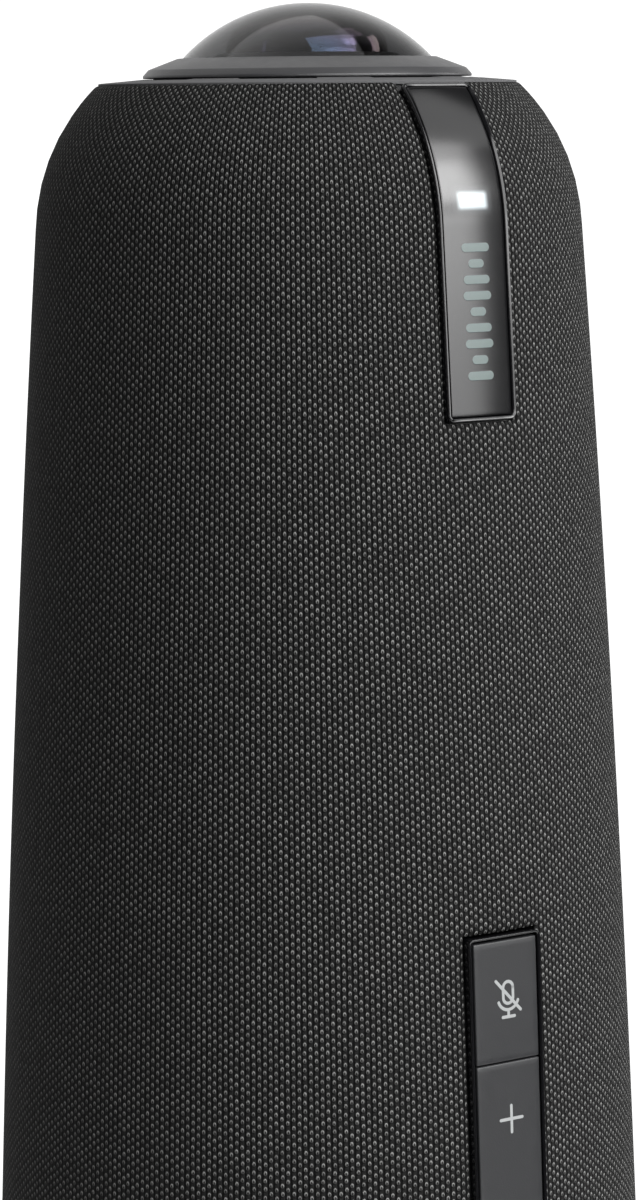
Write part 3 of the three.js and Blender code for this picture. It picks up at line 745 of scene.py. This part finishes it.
for key, node, middle_place, places in [
    ("pairing", "pairing_button", -1.5, 1), ("volume", "volume_rocker", 0, 2), ("mute", "mute_button", 1.5, 1),
]:
    middle = middle_place * BUTTON_PITCH
    half_height = (places * BUTTON_PITCH - BUTTON_GAP) / 2
    cap = plate_uv(
        key + "_cap", on_control, BUTTON_HALF, middle - half_height, middle + half_height,
        crown=0.05, out=BUTTON_OUT, columns=12, rows=20 * places,
    )
    thicken(cap, 1.4)
    soften(cap, 0.26, 3)
    cap.data.materials.append(satin_key)
    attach(cap, key + "_key")
    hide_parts(node)
    ribbons, faces, start = [], [], 0
    for number, path in enumerate(icons[key]):
        spots = stroke(path, INK) + ICON_SHIFT
        lift = BUTTON_OUT + PRINT_LIFT + PRINT_STEP * number
        ribbons.append(on_control(spots[..., 0], spots[..., 1] + middle, lift).reshape(-1, 3))
        faces.append(grid_faces(len(spots), 2)[0] + start)
        start += 2 * len(spots)
    icon = to_mesh(key + "_icon", np.concatenate(ribbons), np.concatenate(faces))
    icon.data.materials.append(ink.material)
    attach(icon, key + "_key")


# ---- Top plate and lens collar ----
# The grey top plate is a shallow cone of moulded plastic. Eight sound slots in it, one for each microphone,
# run in under the collar, a sloping ring that clamps the dome down and has a narrow band facing out.

RING_SEGMENTS = 144
PLATE_RIM = 33.85
SLOT_COUNT = 8
SLOT_HALF_ANGLE = 13.5
SLOT_WALL_ANGLE = 0.12
SLOT_REACH = 28.45
SLOT_DEPTH = 0.9


def carried_round(section, angle):
    """Points of a section of (radius, z) at angles round the axis, turned from -Y towards +X."""
    angle = np.reshape(angle, (-1, 1))
    section = np.asarray(section, dtype=float)
    across, back = section[:, 0] * np.sin(angle), -section[:, 0] * np.cos(angle)
    return np.stack([across, back, section[:, 1] + 0 * angle], axis=-1)


def turned(name, section, segments=RING_SEGMENTS, ring=True):
    """A round piece: a section of (radius, z) points, anticlockwise, carried round the axis. The section of a
    ring is closed. Any other section starts and ends on the axis."""
    angle = np.linspace(0, 2 * math.pi, segments, endpoint=False)
    return grid_piece(name, carried_round(section, angle), True, ring)


def plate_points():
    """The plate, outward along its underside and back in over its top. The top's z falls in straight lines
    from the collar to the rim, and a little more at the rim's round edge. Inside the slots' angles and reach
    it drops by the slots' depth, between grid lines that lie close together."""
    sector = 360 / SLOT_COUNT
    edges = []
    for number in range(SLOT_COUNT):
        start, end = sector * number - SLOT_HALF_ANGLE, sector * number + SLOT_HALF_ANGLE
        edges += [start, start + SLOT_WALL_ANGLE, *np.linspace(start + 3, end - 3, 8)]
        edges += [end - SLOT_WALL_ANGLE, end, *np.linspace(end, start + sector, 7)[1:-1]]
    angle = np.radians(edges)[:, None]
    inward = [19.0, 24.0, 25.6, 26.6, 27.4, SLOT_REACH - 0.05, SLOT_REACH, 30.0, 32.0]
    radius = np.array([*inward, 33.3, 33.6, 33.75, PLATE_RIM])
    rounding = np.interp(radius, [33.3, 33.6, 33.75, PLATE_RIM], [0, 0.01, 0.04, 0.13])
    z = np.interp(radius, [19.0, 25.4, 26.6, PLATE_RIM], [260.65, 260.75, 260.98, 260.36]) - rounding
    from_slot = (np.degrees(angle) + sector / 2) % sector - sector / 2
    sunk = (np.abs(from_slot) <= SLOT_HALF_ANGLE - SLOT_WALL_ANGLE / 2) & (radius < SLOT_REACH - 0.02)
    z = z - SLOT_DEPTH * sunk
    top = np.stack([radius * np.sin(angle), -radius * np.cos(angle), z], axis=-1)
    underside = [(19.0, 257.8), (32.4, 257.8), (33.0, 258.6), (33.0, 259.8), (PLATE_RIM - 0.1, 259.8)]
    return np.concatenate([carried_round(underside, angle), top[:, ::-1]], axis=1)


plate = grid_piece("top_ring_plate", plate_points(), True, True)
plate.data.set_sharp_from_angle(angle=math.radians(40))
plate.data.materials.append(moulded(
    "plate_grey", (0.085, 0.085, 0.088), (0.105, 0.105, 0.108), 0.7, 2600, 0.00003,
    {"Specular IOR Level": 0.25},
))
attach(plate, "housing")
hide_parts("top_plate")

collar = turned("collar_ring", [
    (20.5, 260.82), (24.8, 260.82), (25.0, 261.1), (26.6, 261.1),
    (26.6, 261.5), (25.7, 262.5), (20.9, 264.3), (20.5, 264.2),
])
soften(collar, 0.12, 3, 20)
collar.data.materials.append(moulded("collar_grey", (0.03, 0.03, 0.032), (0.038, 0.038, 0.04), 0.40))
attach(collar, "housing")
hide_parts("lens_collar")


# ---- Dome, lens and baffle ----
# A thin clear dome covers the fisheye lens. The lens is a thick cap of coated glass, dark because it looks
# into a black barrel. A ribbed baffle of black plastic holds its flange and keeps stray light out.

DOME_TOP, DOME_RADIUS, DOME_WALL, DOME_SKIRT = 273.05, 27.6, 0.6, 20.25
LENS_TOP, LENS_RIM_Z, LENS_RIM, LENS_FULLNESS = 271.9, 264.9, 13.1, 2.5


def crown(radius_of_sphere, top, start, end, steps):
    """(radius, z) points on a sphere whose top is on the axis, from one radius to another."""
    angle = np.linspace(math.asin(start / radius_of_sphere), math.asin(end / radius_of_sphere), steps)
    return np.stack([radius_of_sphere * np.sin(angle), top - radius_of_sphere * (1 - np.cos(angle))], axis=-1)


inner = DOME_SKIRT - DOME_WALL
dome_section = np.concatenate([
    crown(DOME_RADIUS - DOME_WALL, DOME_TOP - DOME_WALL, 0, inner, 40),
    [(inner, 260.95), (DOME_SKIRT, 260.95)],
    crown(DOME_RADIUS, DOME_TOP, DOME_SKIRT, 0, 40),
])
dome = turned("dome_shell", dome_section, 128, ring=False)
dome.data.set_sharp_from_angle(angle=math.radians(40))
clear = Finish("smoked_clear", {"Roughness": 0.0, "IOR": 1.4, "Transmission Weight": 1.0})
clear.feed("Base Color", clear.shade(clear.grain(30), (0.66, 0.665, 0.68), (0.70, 0.705, 0.72)))
dome.data.materials.append(clear.material)
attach(dome, "housing")
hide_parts("clear_dome")

lens_turn = np.linspace(0, math.pi / 2, 48)
lens_face = np.stack([
    LENS_RIM * np.cos(lens_turn) ** (2 / LENS_FULLNESS),
    LENS_RIM_Z + (LENS_TOP - LENS_RIM_Z) * np.sin(lens_turn) ** (2 / LENS_FULLNESS),
], axis=-1)
lens_section = np.concatenate([
    crown(9.5, 268.9, 0, 8.9, 16),
    [(11.4, 262.0), (13.9, 262.0), (13.9, 263.2), (13.2, 264.0)],
    lens_face,
])
lens = turned("fisheye_lens", lens_section, 128, ring=False)
lens.data.set_sharp_from_angle(angle=math.radians(35))
glass = Finish("coated_glass", {"Roughness": 0.03, "IOR": 1.6, "Thin Film Thickness": 300.0,
                                "Thin Film IOR": 1.5})
glass.feed("Base Color", glass.shade(glass.grain(50), (0.003, 0.003, 0.004), (0.006, 0.005, 0.007)))
lens.data.materials.append(glass.material)
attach(lens, "housing")
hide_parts("front_lens")

baffle_section = [
    (4.2, 256.5), (14.5, 256.5), (18.4, 260.4), (18.4, 262.6), (14.4, 264.9), (13.7, 264.9), (14.2, 264.2),
    (14.2, 261.8), (11.2, 261.8), (9.4, 259.6), (8.9, 259.6), (7.2, 258.4), (6.8, 258.4), (4.2, 257.4),
]
baffle = turned("ribbed_baffle", baffle_section, 96)
baffle.data.set_sharp_from_angle(angle=math.radians(30))
lens_black = moulded("lens_black", (0.004, 0.004, 0.004), (0.007, 0.007, 0.007), 0.5, 4000)
baffle.data.materials.append(lens_black)
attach(baffle, "housing")
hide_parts("lens_baffle")


# ---- Base plate, rubber foot and tripod insert ----
# The moulded base plate closes the tower below. A soft rubber ring is stuck to it, and a brass insert with a
# quarter-inch thread is pressed into its middle.

base_plate = turned("base_disc", [
    (5.9, 2.4), (52.4, 2.4), (53.4, 2.9), (54.5, 4.2), (55.1, 5.8), (55.2, 7.5), (5.9, 7.5),
])
soften(base_plate, 0.3, 3, 25)
base_plate.data.materials.append(moulded("base_black", (0.016, 0.016, 0.017), (0.022, 0.022, 0.023), 0.5))
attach(base_plate, "housing")
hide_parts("base_plate")

foot = turned("rubber_foot", [
    (38.0, 0.5), (38.5, 0.0), (43.0, 0.0), (43.4, 0.35), (44.6, 0.35), (45.0, 0.0), (49.4, 0.0), (50.0, 0.6),
    (50.0, 2.4), (38.0, 2.4),
])
soften(foot, 0.15, 2, 25)
foot_rubber = moulded("foot_rubber", (0.012, 0.012, 0.012), (0.02, 0.02, 0.02), 0.85, 1800, 0.00005)
foot.data.materials.append(foot_rubber)
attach(foot, "housing")
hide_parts("foot_ring")


THREAD_RADIUS = 3.175
THREAD_DEPTH = 0.55
THREAD_TURNS = 12


def threaded_wall():
    """The bore's wall from its blind end down to its mouth: a zigzag of radius against z, one tooth to each
    turn of the thread."""
    z = np.linspace(3.0, 10.3, 2 * THREAD_TURNS + 1)
    radius = THREAD_RADIUS - THREAD_DEPTH * (np.arange(len(z)) % 2)
    return np.stack([radius, z], axis=-1)[::-1]


insert = turned("threaded_insert", np.concatenate([
    [(0, 10.5)], threaded_wall(), [(3.5, 2.4), (5.4, 2.4), (5.6, 2.6), (5.6, 12.0), (0, 12.0)],
]), 96, ring=False)
insert.data.set_sharp_from_angle(angle=math.radians(25))
brass = Finish("turned_brass", {"Metallic": 1.0})
rings = brass.node(
    "TexWave", {"wave_type": "RINGS", "rings_direction": "Z"}, {"Vector": brass.place(), "Scale": 900.0},
)
brass.feed("Base Color", brass.shade(brass.grain(400), (0.52, 0.38, 0.16), (0.64, 0.49, 0.23)))
brass.feed("Roughness", rings * 0.14 + 0.26)
brass.dent(rings, 0.00001)
insert.data.materials.append(brass.material)
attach(insert, "housing")
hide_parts("tripod_insert")


# ---- Shells, ports and inner parts ----
# The parts inside keep their designed shapes. Moulded parts get a fine grain, boards a solder mask with faint
# copper lines under it, and metal parts a brushed or plated surface.


def dress(material, *names):
    """Gives CAD nodes a material."""
    for name in names:
        mesh = nodes[name].data
        mesh.materials.clear()
        mesh.materials.append(material)


shell_black = moulded("shell_black", (0.010, 0.010, 0.010), (0.016, 0.016, 0.016), 0.62)
dress(shell_black, "front_shell", "rear_shell", "rear_port_panel", "speaker_chassis", "camera_bracket",
      "power_socket", "speaker_1_basket", "speaker_2_basket", "speaker_3_basket")
dress(lens_black, "lens_barrel", "image_sensor")
dress(moulded("gasket_rubber", (0.012, 0.012, 0.012), (0.02, 0.02, 0.02), 0.85), "mic_gasket",
      "speaker_1_surround", "speaker_2_surround", "speaker_3_surround")
dress(moulded("pressed_paper", (0.030, 0.028, 0.025), (0.05, 0.046, 0.042), 0.9, 900, 0.0001),
      "speaker_1_cone", "speaker_2_cone", "speaker_3_cone")
dress(glass.material, "rear_lens")

board = Finish("solder_mask", {"Coat Weight": 0.3})
lanes = board.node("TexBrick", {}, {
    "Vector": board.place(400.0), "Color1": (0.015, 0.075, 0.04, 1), "Color2": (0.022, 0.095, 0.05, 1),
    "Mortar": (0.03, 0.14, 0.07, 1), "Mortar Size": 0.03,
})
board.feed("Base Color", lanes)
board.feed("Roughness", board.grain(700) * 0.15 + 0.3)
dress(board.material, "led_board", "control_board", "main_board", "camera_board", "mic_ring_board",
      "port_board")

plated = Finish("plated_steel", {"Metallic": 1.0})
streaks = plated.node("TexNoise", {}, {
    "Vector": plated.node("Mapping", {}, {0: plated.place(), "Scale": (1500.0, 60.0, 1500.0)}), "Scale": 1.0,
})
plated.feed("Base Color", plated.shade(plated.grain(200), (0.50, 0.51, 0.53), (0.62, 0.63, 0.65)))
plated.feed("Roughness", streaks * 0.18 + 0.22)
dress(plated.material, "processor_shield", "usb_c_socket", "lock_slot_plate", "mute_switch",
      "volume_up_switch", "volume_down_switch", "pairing_switch", "speaker_1_magnet",
      "speaker_2_magnet", "speaker_3_magnet", "base_screw_1", "base_screw_2", "base_screw_3")

anodised = Finish("anodised_aluminium", {"Metallic": 1.0})
anodised.feed("Base Color", anodised.shade(anodised.grain(500), (0.42, 0.43, 0.44), (0.55, 0.56, 0.57)))
anodised.feed("Roughness", anodised.grain(2500) * 0.2 + 0.35)
dress(anodised.material, "heat_sink")
dress(moulded("amber_film", (0.30, 0.12, 0.02), (0.42, 0.18, 0.04), 0.35), "wifi_antenna_left",
      "wifi_antenna_right", "camera_flex")
pipe = Finish("light_pipe", {"Emission Strength": 1.5})
pipe.feed("Base Color", pipe.shade(pipe.grain(500), (0.85, 0.87, 0.88), (0.92, 0.93, 0.93)))
pipe.feed("Emission Color", pipe.shade(pipe.grain(500), (0.85, 0.92, 0.95), (0.92, 0.97, 1.0)))
dress(pipe.material, "status_light_pipe")
